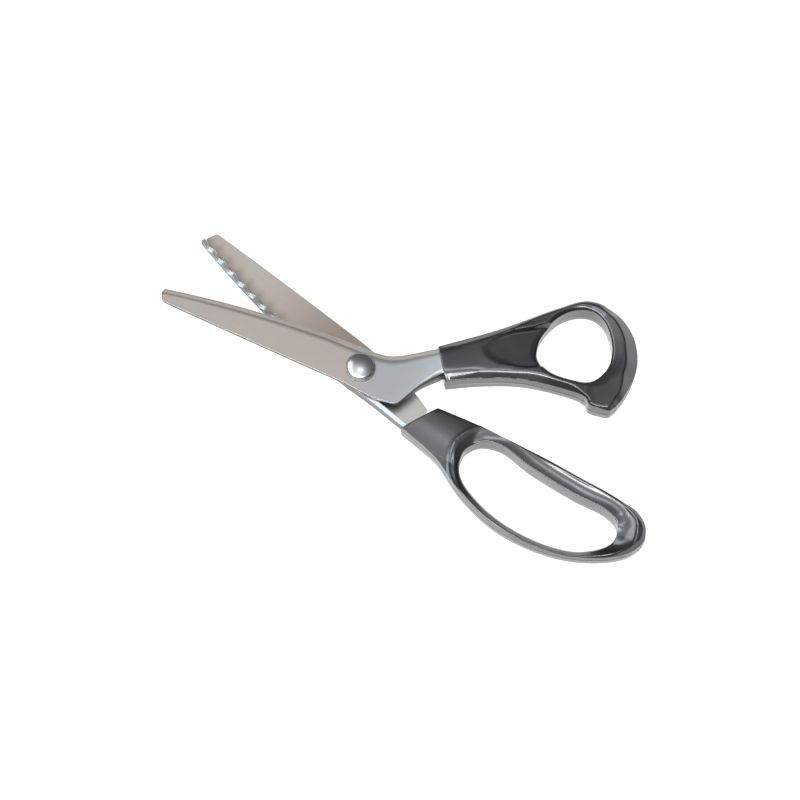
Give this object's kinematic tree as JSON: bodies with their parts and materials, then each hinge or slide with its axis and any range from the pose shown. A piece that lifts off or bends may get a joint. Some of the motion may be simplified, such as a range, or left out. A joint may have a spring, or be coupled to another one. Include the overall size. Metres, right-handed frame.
{
  "type": "pinking shears",
  "caption": "Dressmaking pinking shears with zigzag steel blades on a domed pivot and black moulded handles with a round thumb bow and a long finger bow.",
  "frame": {"origin": "on the pivot axis, at the flat bottom face of the pivot nut, which lies on the table", "axes": "+X from the pivot to the tip of the rear blade, +Z along the pivot axis to the domed head of the bolt, thumb handle on the -Y side, parts at rest as they lie partly open"},
  "size_m": [0.2331, 0.1235, 0.0153],
  "materials": {
    "blade_steel": "satin ground stainless steel",
    "polished_steel": "polished nickel plate",
    "handle_plastic": "glossy black ABS moulding"
  },
  "bodies": {
    "rear_half": {"rear_blade": "blade_steel", "finger_handle": "handle_plastic", "pivot_bolt": "polished_steel", "pivot_nut": "polished_steel", "spacer_bush": "blade_steel", "spring_washer": "polished_steel", "head_washer": "polished_steel"},
    "front_half": {"front_blade": "blade_steel", "thumb_handle": "handle_plastic"}
  },
  "joints": [
    {"name": "pivot", "type": "hinge", "parent": "rear_half", "child": "front_half", "pos_m": [0, 0, 0.007], "axis": [0, 0, 1], "range_deg": [-17.2, 23]}
  ]
}
